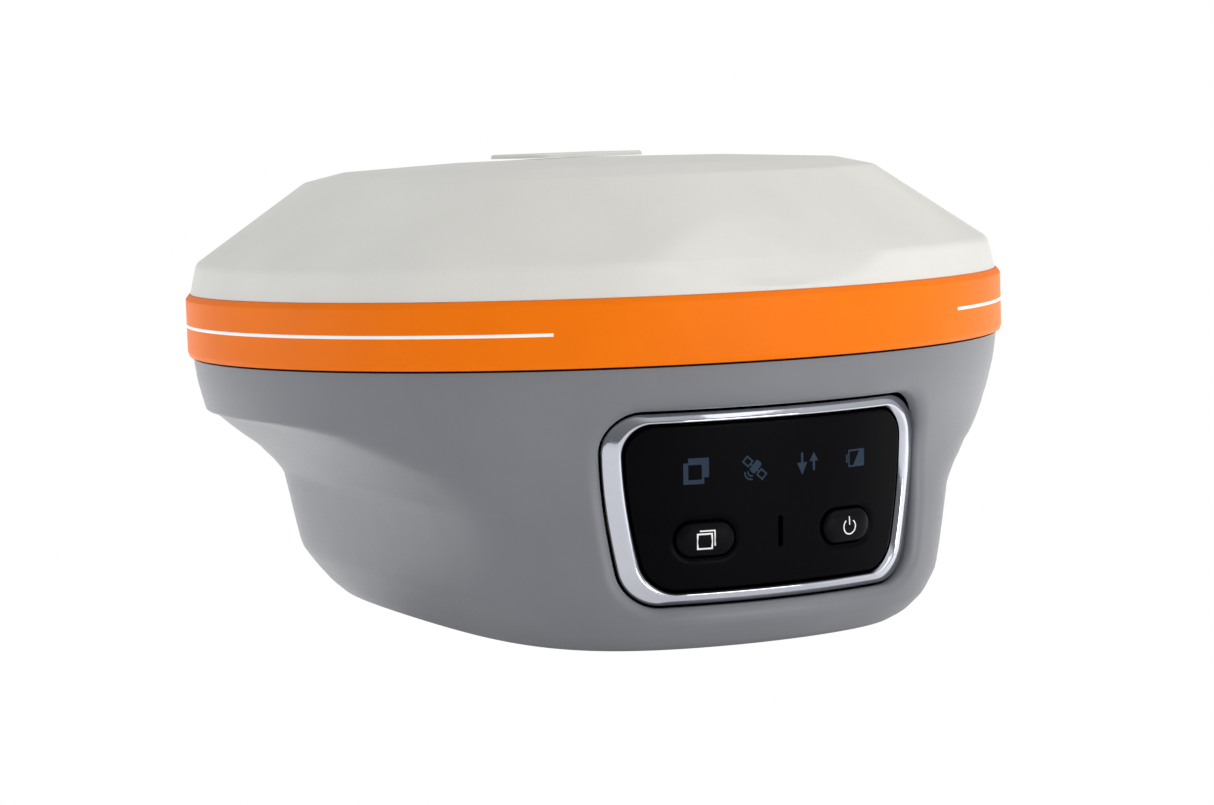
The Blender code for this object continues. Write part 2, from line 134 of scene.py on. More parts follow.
COOL, WARM, INKY = (0.955, 0.985, 1.085), (1.0, 0.985, 0.93), (0.85, 0.85, 1.5)
surface("radome_plastic", grey(0.60, WARM), grey(0.65, WARM), (0.42, 0.56), 0.32, 0.016)
surface("pad_white", grey(0.62, WARM), grey(0.68, WARM), (0.45, 0.6), 0.2, 0.01)
surface("band_orange", (0.75, 0.147, 0.0), (0.81, 0.166, 0.0), (0.4, 0.55), 0.3, 0.012,
        Specular_IOR_Level=0.1)
surface("line_white", grey(0.8), grey(0.86), (0.35, 0.5), 0.2, 0.004)
surface("housing_grey", grey(0.145, COOL), grey(0.165, COOL), (0.38, 0.52), 0.3, 0.014)
surface("chrome", grey(0.5, COOL), grey(0.55, COOL), (0.05, 0.1), 0.8, 0.002, metallic=1.0)
surface("panel_black", grey(0.0009, INKY), grey(0.0014, INKY), (0.28, 0.36), 0.25, 0.003,
        Specular_IOR_Level=0.03)
surface("icon_blue", (0.018, 0.03, 0.05), (0.024, 0.04, 0.065), (0.3, 0.4), 0.2, 0.002,
        Specular_IOR_Level=0.05)
surface("key_black", grey(0.0012, INKY), grey(0.002, INKY), (0.4, 0.5), 0.2, 0.006,
        Specular_IOR_Level=0.06)
surface("symbol_white", grey(0.75), grey(0.82), (0.4, 0.5), 0.2, 0.002)
surface("seal_rubber", grey(0.022), grey(0.032), (0.6, 0.8), 0.25, 0.012)
surface("circuit_green", (0.006, 0.07, 0.025), (0.012, 0.12, 0.045), (0.35, 0.5), 0.5, 0.01)
surface("can_steel", grey(0.5), grey(0.56), (0.26, 0.32), 0.4, 0.0006, metallic=1.0)
surface("brass", (0.62, 0.4, 0.14), (0.68, 0.44, 0.17), (0.24, 0.32), 0.35, 0.0008, metallic=1.0)
surface("plate_alloy", grey(0.48), grey(0.54), (0.32, 0.42), 0.3, 0.0015, metallic=1.0)
surface("screw_steel", grey(0.38), grey(0.44), (0.24, 0.34), 0.3, 0.001, metallic=1.0)
surface("battery_wrap", (0.02, 0.07, 0.22), (0.03, 0.1, 0.3), (0.3, 0.45), 0.6, 0.01)
surface("dark_plastic", grey(0.024, COOL), grey(0.034, COOL), (0.45, 0.6), 0.3, 0.014)
surface("lamp_resin", (0.7, 0.76, 0.82), (0.8, 0.86, 0.92), (0.12, 0.22), 0.3, 0.002)
surface("antenna_metal", (0.66, 0.63, 0.52), (0.78, 0.74, 0.62), (0.22, 0.35), 0.4, 0.004,
        metallic=1.0)
surface("antenna_ceramic", grey(0.62, WARM), grey(0.7, WARM), (0.5, 0.65), 0.4, 0.012)

for part in frame["record"]["subparts"]:
    for holder in frame["nodes"][part["node"]].material_slots:
        holder.material = looks[part["material_slot"]]


# ---------------------------------------------------------------- mesh helpers
def polar(angle, radius, z):
    """Point at an angle from the front (-Y), positive towards +X."""
    return (radius * math.sin(angle), -radius * math.cos(angle), z)


def skin(bm, loops, closed=False, caps=True):
    """Faces between a list of loops; closed joins the last loop to the first."""
    rows = [[bm.verts.new(point) for point in loop] for loop in loops]
    for low, high in list(zip(rows, rows[1:])) + ([(rows[-1], rows[0])] if closed else []):
        for i in range(len(low)):
            j = (i + 1) % len(low)
            bm.faces.new((low[i], low[j], high[j], high[i]))
    if caps and not closed:
        bm.faces.new(rows[0])
        bm.faces.new(rows[-1])
    return bm


def weave(bm, rows):
    """Open grid of faces."""
    made = [[bm.verts.new(point) for point in row] for row in rows]
    for low, high in zip(made, made[1:]):
        for i in range(len(low) - 1):
            bm.faces.new((low[i], low[i + 1], high[i + 1], high[i]))
    return bm


def raw(name, bm):
    """Object from a bmesh in mm, with its doubled points merged."""
    bmesh.ops.remove_doubles(bm, verts=bm.verts, dist=1e-4)
    bmesh.ops.recalc_face_normals(bm, faces=bm.faces)
    bmesh.ops.scale(bm, vec=(MM, MM, MM), verts=bm.verts)
    mesh = bpy.data.meshes.new(name)
    bm.to_mesh(mesh)
    bm.free()
    obj = bpy.data.objects.new(name, mesh)
    bpy.context.scene.collection.objects.link(obj)
    return obj


def add(name, bm, slot, body="receiver", stands_for=(), look=None, cutter=None, sharp=32.0):
    """Make a piece from a bmesh, carve it with an optional cutter bmesh, and hang it on its body."""
    obj = raw(name, bm)
    if cutter is not None:
        tool = raw(name + "_cutter", cutter)
        modifier = obj.modifiers.new("carve", "BOOLEAN")
        modifier.operation, modifier.solver, modifier.object = "DIFFERENCE", "EXACT", tool
        seen = obj.evaluated_get(bpy.context.evaluated_depsgraph_get())
        carved = bpy.data.meshes.new_from_object(seen)
        obj.modifiers.clear()
        obj.data = carved
        bpy.data.objects.remove(tool)
    obj.data.materials.clear()
    obj.data.materials.append(looks[look or slot])
    obj.data.shade_smooth()
    obj.data.set_sharp_from_angle(angle=math.radians(sharp))
    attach(obj, body)
    if stands_for:
        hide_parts(*stands_for)
    return obj


def rounded(corners, radii, steps=12):
    """Convex polygon with arcs at its corners, as (u, v) points."""
    points = []
    for i, corner in enumerate(corners):
        here = Vector(corner)
        back = (Vector(corners[i - 1]) - here).normalized()
        ahead = (Vector(corners[(i + 1) % len(corners)]) - here).normalized()
        half = back.angle(ahead) / 2
        centre = here + (back + ahead).normalized() * (radii[i] / math.sin(half))
        start = here + back * (radii[i] / math.tan(half)) - centre
        end = here + ahead * (radii[i] / math.tan(half)) - centre
        turn = start.angle_signed(end)
        for k in range(steps + 1):
            points.append(tuple(centre + Matrix.Rotation(-turn * k / steps, 2) @ start))
    return points


def rectangle(centre, size, radius, steps=8):
    """Outline of a rectangle with round corners."""
    (cx, cy), hx, hy = centre, size[0] / 2, size[1] / 2
    corners = [(cx - hx, cy - hy), (cx + hx, cy - hy), (cx + hx, cy + hy), (cx - hx, cy + hy)]
    return rounded(corners, [radius] * 4, steps)


def bent(path, radii, steps=6):
    """Open (r, z) path with arcs at its inner points."""
    points = [path[0]]
    for before, corner, after, radius in zip(path, path[1:], path[2:], radii):
        here = Vector(corner)
        back, ahead = (Vector(before) - here).normalized(), (Vector(after) - here).normalized()
        reach = radius / math.tan(back.angle(ahead) / 2)
        start, end = here + back * reach, here + ahead * reach
        for k in range(steps + 1):
            t = k / steps
            points.append(tuple(start * (1 - t) ** 2 + here * 2 * t * (1 - t) + end * t * t))
    return points + [path[-1]]


def split(points, longest, loop=True, model=None):
    """Add points along long runs of a line, or where a matching model line is long."""
    model = model or points
    made = []
    count = len(points) if loop else len(points) - 1
    for i in range(count):
        j = (i + 1) % len(points)
        parts = max(1, math.ceil(math.dist(model[i], model[j]) / longest))
        for k in range(parts):
            made.append(tuple(a + (b - a) * k / parts for a, b in zip(points[i], points[j])))
    return made if loop else made + [tuple(points[-1])]


def circle(radius, z, steps=144, centre=(0.0, 0.0)):
    return [(centre[0] + radius * math.cos(2 * math.pi * i / steps),
             centre[1] + radius * math.sin(2 * math.pi * i / steps), z) for i in range(steps)]


def turned(bm, profile, steps=144, closed=False, centre=(0.0, 0.0)):
    """Surface turned about Z from an (r, z) profile."""
    return skin(bm, [circle(r, z, steps, centre) for r, z in profile], closed)


# ---------------------------------------------------------------- outlines of the body
SOFTEN = 0.55                               # how far a fold between two stations is rounded


def softened(rows):
    """Straight runs between the (height, values...) rows, with each fold rounded a little."""
    table = np.array(rows, float)
    spread = np.linspace(-SOFTEN, SOFTEN, 9)

    def at(z):
        heights = np.abs(z + spread * min(1.0, z / SOFTEN, (HOUSING_TOP - z) / SOFTEN))
        return [float(np.mean(np.interp(heights, table[:, 0], column))) for column in table[:, 1:].T]
    return at


station = softened(STATIONS)


def housing_radius(angle, z):
    """Round front and back, drawn in at both sides below the crease."""
    radius, side, sharp = station(z)
    pull = abs(math.sin(angle)) / side
    return (radius ** -sharp + pull ** sharp) ** (-1 / sharp)


def housing_inner(angle, z):
    """Inner radius, one wall inwards and one wall below."""
    return min(housing_radius(angle, z) - WALL, housing_radius(angle, max(z - WALL, 0.0)) - 0.4)


def face_radius(z):
    """Radius of the keypad surface, which leans out a little towards its top."""
    return FACE_R + FACE_LEAN * (z - 10.0)


def face_point(s, z, depth):
    """Point on the keypad surface: arc length s, height z, depth inwards."""
    return polar(s / face_radius(z), face_radius(z) - depth, z)


def pad_corners(grow_side, grow_edge, corner, steps=14):
    """Keypad outline before its sides are bowed: grown by margins, with (bottom, top) corner radii."""
    low, high = FACE_Z[0] - grow_edge, FACE_Z[1] + grow_edge
    wide_low, wide_high = FACE_W[0] + grow_side, FACE_W[1] + grow_side
    return rounded([(-wide_low, low), (wide_low, low), (wide_high, high), (-wide_high, high)],
                   [corner[0], corner[0], corner[1], corner[1]], steps)


def bulge(outline):
    """Sides bowed out a little between the top and bottom edges."""
    low, high = min(z for _, z in outline), max(z for _, z in outline)
    middle = (low + high) / 2
    return [(s * (1 + FACE_BOW * (1 - ((z - middle) / (high - middle)) ** 2)), z) for s, z in outline]


# ---------------------------------------------------------------- lower housing
LIP_WIDE, LIP_DEEP = 2.3, 1.5               # rounding round the keypad opening
EDGE = math.radians(34.0)                   # the front patch, whose mesh follows the opening
CREASE_Z = (30.0, 39.4)                     # lowest and highest place of the crease over the flanks
LIP_STEPS = [3.4, 2.9, 2.6, 2.3, 2.0, 1.7, 1.4, 1.15, 0.9, 0.7, 0.52, 0.36, 0.23, 0.12, 0.04, 0.0]


def crease_rows(angle):
    """Heights of the mesh rows at an angle: close together at the folds, with one row on the crease."""
    heights = np.linspace(8.0, 44.0, 721)
    excess = [station(z)[1] - station(z)[0] * abs(math.sin(angle)) for z in heights]
    crease = min(max(float(np.interp(0.0, excess, heights)), CREASE_Z[0]), CREASE_Z[1])
    low = [0, 0.3, 0.7, 1.1, 1.5, 2.0, 2.7, 3.5, 4.4, 5.6, 6.8, 8, 9.5, 11, 12.5, 14, 15.5, 17, 18.6, 20,
           21.5, 23, 24, 25, 26.2]
    mid = [low[-1] + (crease - low[-1]) * t
           for t in (0.14, 0.28, 0.42, 0.55, 0.67, 0.77, 0.85, 0.91, 0.955, 0.98, 1.0)]
    top = [crease + (HOUSING_TOP - crease) * t
           for t in (0.012, 0.03, 0.06, 0.1, 0.15, 0.21, 0.28, 0.36, 0.45, 0.55, 0.66, 0.78, 0.9, 1.0)]
    return low + mid + top


INDOORS = 7.7                               # above this, the inside's heights are the outside's


def indoors(z):
    """Height inside the wall that goes with a height outside it."""
    return z if z > INDOORS else FLOOR + z * (INDOORS - FLOOR) / INDOORS


def outside(angle, z, drop=0.0):
    return polar(angle, housing_radius(angle, z) - drop, z)


def inside(angle, z):
    return polar(angle, housing_inner(angle, indoors(z)), indoors(z))


SIDE_STEPS, FRONT_STEPS, PATCH_RINGS = 292, 84, 14
side_angles = [EDGE + (2 * math.pi - 2 * EDGE) * i / SIDE_STEPS for i in range(SIDE_STEPS + 1)]
front_angles = [-EDGE + 2 * EDGE * i / FRONT_STEPS for i in range(FRONT_STEPS + 1)]
housing = bmesh.new()
side_rows = [crease_rows(a) for a in side_angles]
for place in (outside, inside):
    weave(housing, [[place(a, side_rows[i][k]) for i, a in enumerate(side_angles)]
                    for k in range(len(side_rows[0]))])

# The front patch runs in rings from its border to the keypad's opening, and rolls over into it.
edge_rows = crease_rows(EDGE)
border = ([(a, 0.0) for a in front_angles] + [(EDGE, z) for z in edge_rows[1:]]
          + [(a, HOUSING_TOP) for a in reversed(front_angles[:-1])]
          + [(-EDGE, z) for z in reversed(edge_rows[1:-1])])
border = [(a * face_radius(z), z) for a, z in border]
mouth = split(bulge(split(pad_corners(BEZEL_SIDE + 0.4, BEZEL_EDGE + 0.4, (6.9, 6.4)), 1.5)), 0.3)
heart = (0.0, 24.4)                         # middle of the keypad, from which the patch's bearings run
bearings = np.array([math.atan2(z - heart[1], s) for s, z in mouth])
order = np.argsort(bearings)
reaches = np.array([math.hypot(s, z - heart[1]) for s, z in mouth])[order]
bearings = bearings[order]


def mouth_at(bearing):
    reach = float(np.interp(bearing, bearings, reaches, period=2 * math.pi))
    return Vector((reach * math.cos(bearing), heart[1] + reach * math.sin(bearing)))


rings, spots = [], []
for s, z in border:
    bearing = math.atan2(z - heart[1], s)
    here, run = mouth_at(bearing), mouth_at(bearing + 0.01) - mouth_at(bearing - 0.01)
    spots.append((Vector((s, z)), here, Vector((run.y, -run.x)).normalized()))
for k in range(PATCH_RINGS):
    share = (k / PATCH_RINGS) ** 1.1
    rings.append([(*(far * (1 - share) + (here + out * LIP_STEPS[0]) * share), 0.0)
                  for far, here, out in spots])
for gap in LIP_STEPS:
    near = max(1.0 - gap / LIP_WIDE, 0.0)
    drop = LIP_DEEP * (1.0 - math.sqrt(1.0 - near * near))
    rings.append([(*(here + out * gap), drop) for _, here, out in spots])
loops = [[outside(s / face_radius(z), z, drop) for s, z, drop in loop] for loop in rings]
loops += [[inside(s / face_radius(z), z) for s, z, _ in loop] for loop in reversed(rings)]
skin(housing, loops, caps=False)

all_angles = side_angles[:-1] + front_angles[:-1]


def level(radius, z):
    """Level loop that shares the bearings of the housing's edges."""
    return [polar(a, radius(a) if callable(radius) else radius, z) for a in all_angles]


skin(housing, [level(lambda a: housing_radius(a, HOUSING_TOP), HOUSING_TOP),
               level(lambda a: housing_inner(a, HOUSING_TOP), HOUSING_TOP)], caps=False)
skin(housing, [level(lambda a: housing_radius(a, 0.0), 0.0),
               level(lambda a: housing_radius(a, 0.0) * 0.5 + 15.0, 0.0),
               level(PLATE_R + 0.7, 0.0), level(PLATE_R + 0.35, 0.35), level(PLATE_R + 0.35, 3.3),
               level(INSERT_R + 0.35, 3.3), level(INSERT_R + 0.35, FLOOR),
               level(lambda a: housing_inner(a, FLOOR), FLOOR)], caps=False)


def back_outline(trim):
    """Outline of the port opening on the back, as (arc length from the back, height)."""
    middle, half, tall = sum(PORT_Z) / 2, PORT_HALF * BACK_R, PORT_Z[1] - PORT_Z[0]
    corner = 2.6
    model = rectangle((0.0, middle), (2 * half, tall), corner)
    radius = max(corner - trim, 0.4)
    return split(rectangle((0.0, middle), (2 * (half - trim), tall - 2 * trim), radius), 1.2, model=model)


def back_point(s, z, depth):
    """Point on the back of the housing: arc length s, height z, depth inwards."""
    return polar(math.pi + s / BACK_R, station(z)[0] - depth, z)


def back_loop(trim, depth):
    return [back_point(s, z, depth) for s, z in back_outline(trim)]


def along_socket(radius, reach, steps=64):
    """Loop round the whip socket's axis, at a distance from the body's axis; radius may be a function."""
    ahead = Vector(polar(SOCKET_ANGLE, 1.0, 0.0))
    across = Vector((-ahead.y, ahead.x, 0.0))
    centre = ahead * reach + Vector((0, 0, SOCKET_Z))
    loop = []
    for t in (2 * math.pi * i / steps for i in range(steps)):
        r = radius(t) if callable(radius) else radius
        loop.append(tuple(centre + across * r * math.cos(t) + Vector((0, 0, r * math.sin(t)))))
    return loop


plate_spots = [(20.0 * math.cos(a), 20.0 * math.sin(a))
               for a in (math.radians(45 + 90 * k) for k in range(4))]
case_spots = [(x, y) for x in (-30.0, 30.0) for y in (-45.0, 45.0)]
openings = bmesh.new()
skin(openings, [back_loop(0.0, 12.0), back_loop(0.0, 0.45), back_loop(-0.15, 0.12), back_loop(-0.45, -0.05),
                back_loop(-0.9, -4.0)])
skin(openings, [along_socket(r, d) for r, d in (
    (8.4, 55.0), (8.4, 70.6), (8.7, 71.3), (9.4, 71.9), (9.4, 85.0))])
for spot in plate_spots:
    turned(openings, ((1.85, 2.0), (1.85, 9.0)), 32, centre=spot)
for spot in case_spots:
    turned(openings, ((4.6, -2.0), (3.7, 0.0), (3.4, 0.3), (3.4, 2.9), (1.85, 2.95), (1.85, 9.0)), 48,
           centre=spot)
add("housing_shell", housing, "housing_grey", stands_for=["lower_housing"], cutter=openings)

# ---------------------------------------------------------------- mount plate, threaded insert, screws
plate_holes = bmesh.new()
for spot in plate_spots:
    turned(plate_holes, ((4.1, -2.0), (3.6, 0.0), (3.3, 0.3), (3.1, 1.9), (1.85, 1.95), (1.85, 9.0)), 48,
           centre=spot)
add("mount_disc", turned(bmesh.new(), (
    (INSERT_R + 0.35, 0.35), (INSERT_R + 0.7, 0.0), (13.6, 0.0), (13.8, 0.3), (14.4, 0.3), (14.6, 0.0),
    (PLATE_R - 0.7, 0.0), (PLATE_R - 0.2, 0.2), (PLATE_R, 0.7), (PLATE_R, 3.0), (INSERT_R + 0.35, 3.0)),
    closed=True), "plate_alloy", stands_for=["mount_plate"], cutter=plate_holes)

ROUND = 96                                  # points round the insert
FADE = 0.8                                  # height over which the thread runs out


def plain_loops(profile):
    return [[polar(2 * math.pi * i / ROUND, r, z) for i in range(ROUND)] for r, z in profile]


def thread_loops(low, high, rows=84):
    """Loops of the insert's thread between two heights, fading out at both ends, from the top down."""
    loops = []
    for k in range(rows, -1, -1):
        z = low + (high - low) * k / rows
        fade = min(1.0, (z - low) / FADE, (high - z) / FADE)
        loop = []
        for i in range(ROUND):
            turn = (z / THREAD_PITCH - i / ROUND) % 1.0
            tooth = min(1.0, max(0.0, abs(2 * turn - 1) * 1.6 - 0.3)) * fade
            loop.append(polar(2 * math.pi * i / ROUND, INSERT_BORE + (THREAD_ROOT - INSERT_BORE) * tooth, z))
        loops.append(loop)
    return loops


insert_loops = plain_loops([(2.0, 16.4), (INSERT_BORE - 0.6, 16.2)]) + thread_loops(1.0, 15.8) + plain_loops([
    (INSERT_BORE + 0.1, 0.9), (INSERT_BORE + 0.95, 0.1), (INSERT_BORE + 1.1, 0.0), (INSERT_R - 0.4, 0.0),
    (INSERT_R - 0.1, 0.1), (INSERT_R, 0.4), (INSERT_R, INSERT_H - 0.5), (INSERT_R - 0.5, INSERT_H),
    (2.0, INSERT_H)])
add("threaded_insert", skin(bmesh.new(), insert_loops), "brass", stands_for=["mount_insert"])


def screw(name, node, spot, profile, face):
    """Turned screw with a six-lobe drive recess in its downward face."""
    lobes = []
    for radius, z in ((1.35, face - 0.6), (1.35, face + 0.05), (1.2, face + 0.2), (1.15, face + 1.0)):
        lobes.append([])
        for t in (2 * math.pi * i / 48 for i in range(48)):
            r = radius + 0.22 * math.cos(6 * t)
            lobes[-1].append((spot[0] + r * math.cos(t), spot[1] + r * math.sin(t), z))
    add(name, turned(bmesh.new(), profile, 64, centre=spot), "screw_steel", stands_for=[node],
        cutter=skin(bmesh.new(), lobes))


PLATE_SCREW = ((0.8, 0.2), (2.35, 0.2), (2.6, 0.32), (2.7, 0.6), (2.7, 1.6), (1.5, 1.6), (1.5, 4.9),
               (1.0, 5.3))
CASE_SCREW = ((0.8, 0.8), (2.2, 0.82), (2.7, 1.0), (3.0, 1.5), (3.0, 2.6), (1.5, 2.6), (1.5, 5.0),
              (1.0, 5.3))
for kind, spots, profile in (("plate", plate_spots, PLATE_SCREW), ("case", case_spots, CASE_SCREW)):
    for k, spot in enumerate(spots):
        screw(f"{kind}_fixing_{k + 1}", f"{kind}_screw_{k + 1}", spot, profile, profile[0][1])

# ---------------------------------------------------------------- radome, pad and band
SHELL_OUT = split(bent([(72.9, 49.6), (72.9, 60.42), (75.1, 60.42), (73.8, 65.9), (53.2, 80.1), (46.0, 81.75),
                        (26.0, 82.75), (2.0, 83.15)],
                       [0.1, 0.12, 2.4, 3.0, 5.0, 12.0]), 0.6, loop=False)
SHELL_IN = [(70.5, 49.6), (70.5, 61.0), (71.6, 64.2), (68.0, 66.8), (60.0, 72.4), (51.0, 77.7), (24.0, 80.2),
            (2.0, 80.4)]


def scooped(angle, radius, z, inset=0.0):
    """Radome radius, softly cut by the leaning flat over the keypad, which flares out again at its foot."""
    facing = math.cos(angle)
    if not (SCOOP[0][0] < z < SCOOP[-1][0] and radius > 50 and facing > 0.8):
        return radius
    flat = (float(np.interp(z, *zip(*SCOOP))) - inset) / facing
    near = max(SCOOP_BLEND - abs(radius - flat), 0.0) / SCOOP_BLEND
    return min(radius, flat) - near * near * SCOOP_BLEND / 4


# finer over the keypad, where the flat is
shell_angles = [math.radians(a) for a in [*np.arange(-32.0, 32.0, 0.5), *np.arange(32.0, 328.0, 1.6)]]
add("radome_shell", skin(bmesh.new(), [
    [polar(a, scooped(a, r, z, 2.4), z) for a in shell_angles] for r, z in reversed(SHELL_IN)] + [
    [polar(a, scooped(a, r, z), z) for a in shell_angles] for r, z in SHELL_OUT]),
    "radome_plastic", stands_for=["radome_cover"])

PAD_C, PAD_SIZE = 9.8, 23.0
add("blank_pad", skin(bmesh.new(), [
    [(x, y, z) for x, y in rectangle((0, PAD_C), (PAD_SIZE - 2 * c, PAD_SIZE - 2 * c), 3.0 - c)]
    for c, z in ((0.0, 83.2), (0.0, 83.55), (0.08, 83.8), (0.28, 83.96), (0.5, 84.0), (1.3, 84.0),
                 (1.4, 83.94), (1.6, 83.94), (1.7, 84.0))]), "pad_white", stands_for=["top_pad"])

add("band_ring", turned(bmesh.new(), bent(
    [(BAND_IN, BAND_LOW), (75.7, BAND_LOW), (BAND_R, 49.9), (BAND_R, 54.7), (BAND_R, 59.5), (75.3, BAND_TOP),
     (BAND_IN, BAND_TOP)], [0.25, 0.5, 0.1, 0.6, 0.3]), 288, closed=True), "band_orange",
    stands_for=["bumper_band"])
LINE_GAP, LINE_STEPS = 31.0, 240            # the line stops short of the front, on both sides, in degrees
line_angles = [math.radians(LINE_GAP + (360.0 - 2 * LINE_GAP) * i / LINE_STEPS)
               for i in range(LINE_STEPS + 1)]
add("band_line", skin(bmesh.new(), [[polar(a, r, z) for r, z in (
    (75.8, 54.43), (76.03, 54.43), (76.05, 54.48), (76.05, 54.94), (76.03, 54.99), (75.8, 54.99))]
    for a in line_angles]), "band_orange", look="line_white")


# ---------------------------------------------------------------- keypad
def raised(outline, depth):
    """Outline placed on the keypad surface at a depth below it."""
    return [face_point(s, z, depth) for s, z in outline]


rim_model = pad_corners(BEZEL_SIDE, BEZEL_EDGE, (6.5, 6.0))
rim_out = bulge(split(rim_model, 0.9))
rim_in = bulge(split(pad_corners(0.3, 0.3, (5.7, 4.5)), 0.9, model=rim_model))


def rim(share, depth):
    """Loop of the frame, a share of the way from its outer to its inner outline."""
    return raised([(a + (c - a) * share, b + (d - b) * share)
                   for (a, b), (c, d) in zip(rim_out, rim_in)], depth)


# (share of the width, depth below the keypad surface)
RIM_SECTION = [(0.0, 4.5), (0.0, 0.5), (0.005, 0.22), (0.02, 0.02), (0.05, -0.12), (0.1, -0.21),
               (0.2, -0.31), (0.35, -0.44), (0.5, -0.57), (0.62, -0.67), (0.7, -0.73), (0.75, -0.75),
               (0.79, -0.73), (0.83, -0.64), (0.88, -0.46), (0.93, -0.22), (0.97, -0.02), (0.99, 0.15),
               (1.0, 0.4), (1.0, 4.5)]
add("bezel_rim", skin(bmesh.new(), [rim(t, d) for t, d in RIM_SECTION], closed=True), "chrome",
    stands_for=["keypad_bezel"])


def pill(side, grow):
    """Outline of a key or of the hole round it; side is -1 or 1."""
    width, height = KEY_SIZE[0] + 2 * grow, KEY_SIZE[1] + 2 * grow
    model = rectangle((side * KEY_S, KEY_Z), KEY_SIZE, KEY_SIZE[1] / 2 - 0.01, 12)
    return split(rectangle((side * KEY_S, KEY_Z), (width, height), height / 2 - 0.01, 12), 0.6, model=model)


def face_slab(bm, sections, spacing=1.2):
    """Closed sheet on the keypad surface from (outline, depth) rows, creased so that its faces bend."""
    skin(bm, [[(s, depth, z) for s, z in outline] for outline, depth in sections])
    reach = int(max(s for s, _ in sections[0][0]) // spacing) + 1
    for k in range(-reach, reach + 1):
        bmesh.ops.bisect_plane(bm, geom=bm.verts[:] + bm.edges[:] + bm.faces[:],
                               plane_co=(spacing * k + 0.013, 0, 0), plane_no=(1, 0, 0))
    for vert in bm.verts:
        vert.co = face_point(vert.co.x, vert.co.z, vert.co.y)
    return bm


WINDOW_CORNERS = (5.5, 4.3)
window_model = pad_corners(0.0, 0.0, WINDOW_CORNERS)


def window_line(trim):
    """Outline of the window, trimmed all round."""
    corners = tuple(radius - trim for radius in WINDOW_CORNERS)
    return bulge(split(pad_corners(-trim, -trim, corners), 1.0, model=window_model))


moats = bmesh.new()                         # key holes with dished edges, and the slot between them
for side in (-1, 1):
    skin(moats, [raised(pill(side, g), d) for g, d in (
        (0.35, 3.0), (0.35, 0.6), (0.4, 0.42), (0.55, 0.26), (0.8, 0.14), (1.15, 0.05), (1.6, 0.0),
        (1.6, -3.0))])
skin(moats, [raised(rectangle((0.0, KEY_Z + 0.3), (0.7 + 2 * g, 5.2 + 2 * g), 0.34 + g, 6), d)
             for g, d in ((0.0, 3.0), (0.0, 0.25), (0.12, 0.06), (0.3, -0.02), (0.3, -3.0))])
window = add("keypad_panel", face_slab(bmesh.new(), [
    (window_line(0.0), 2.2), (window_line(0.0), 0.3), (window_line(0.06), 0.12), (window_line(0.22), 0.02),
    (window_line(0.45), 0.0)]), "panel_black", stands_for=["keypad_window"], cutter=moats)
window.modifiers.new("even_shading", "WEIGHTED_NORMAL").keep_sharp = True

# Crown of a key: (distance outside its outline, height above the keypad surface)
DOME = [(-2.66, 0.8), (-2.3, 0.795), (-1.8, 0.77), (-1.3, 0.72), (-0.9, 0.64), (-0.55, 0.53), (-0.25, 0.38),
        (0.0, 0.21), (0.1, 0.05), (0.14, -0.15)]
for name, side in (("function", -1), ("power", 1)):
    loops = [raised(pill(side, g), -h) for g, h in DOME]
    loops += [raised(pill(side, g), d)
              for g, d in ((0.14, 0.6), (0.0, 0.8), (0.0, 2.6), (1.1, 2.6), (1.1, 3.5))]
    add(name + "_button", skin(bmesh.new(), loops), "key_black", name + "_key", stands_for=[name + "_key"])


# ---------------------------------------------------------------- printed icons
def bow(cx, cz, radius, start, end, steps):
    """Points along an arc; one that ends past a full turn leaves out its last point."""
    angles = [start + (end - start) * k / steps for k in range(steps + (end < 2 * math.pi))]
    return [(cx + radius * math.cos(t), cz + radius * math.sin(t)) for t in angles]


def arc(cx, cz, radius, width, start, end, steps=16):
    """Curved stroke, angles in degrees."""
    a, b = math.radians(start), math.radians(end)
    return bow(cx, cz, radius + width / 2, a, b, steps) + bow(cx, cz, radius - width / 2, b, a, steps)


def stroke(p, q, width):
    """Straight stroke between two points."""
    p, q = Vector(p), Vector(q)
    across = (q - p).normalized().orthogonal() * width / 2
    return [tuple(p + across), tuple(p - across), tuple(q - across), tuple(q + across)]


def frame_of(x0, z0, x1, z1, width):
    """Four mitred strokes round a rectangle."""
    outer = [(x0, z0), (x1, z0), (x1, z1), (x0, z1)]
    x0, z0, x1, z1 = x0 + width, z0 + width, x1 - width, z1 - width
    inner = [(x0, z0), (x1, z0), (x1, z1), (x0, z1)]
    return [[outer[i], outer[(i + 1) % 4], inner[(i + 1) % 4], inner[i]] for i in range(4)]


PRINT_PROUD = 0.03


def printed(name, shapes, centre, height, slot, look, body="receiver", size=1.0, lean=0.0):
    """Thin raised print: each shape is an outline round (0, 0), placed on the keypad at a centre."""
    bm = bmesh.new()
    turn = Matrix.Rotation(math.radians(lean), 2)
    for shape in shapes:
        placed = [turn @ (Vector(point) * size) + Vector(centre) for point in split(shape, 0.6)]
        if sum(a.x * b.y - b.x * a.y for a, b in zip(placed, placed[1:] + placed[:1])) < 0:
            placed.reverse()
        skin(bm, [[face_point(s, z, 0.12 - height(s, z)) for s, z in placed],
                  [face_point(s, z, -PRINT_PROUD - height(s, z)) for s, z in placed]])
    return add(name, bm, slot, body, look=look)


def panel_height(s, z):
    """Height of the window above the keypad surface."""
    return 0.0


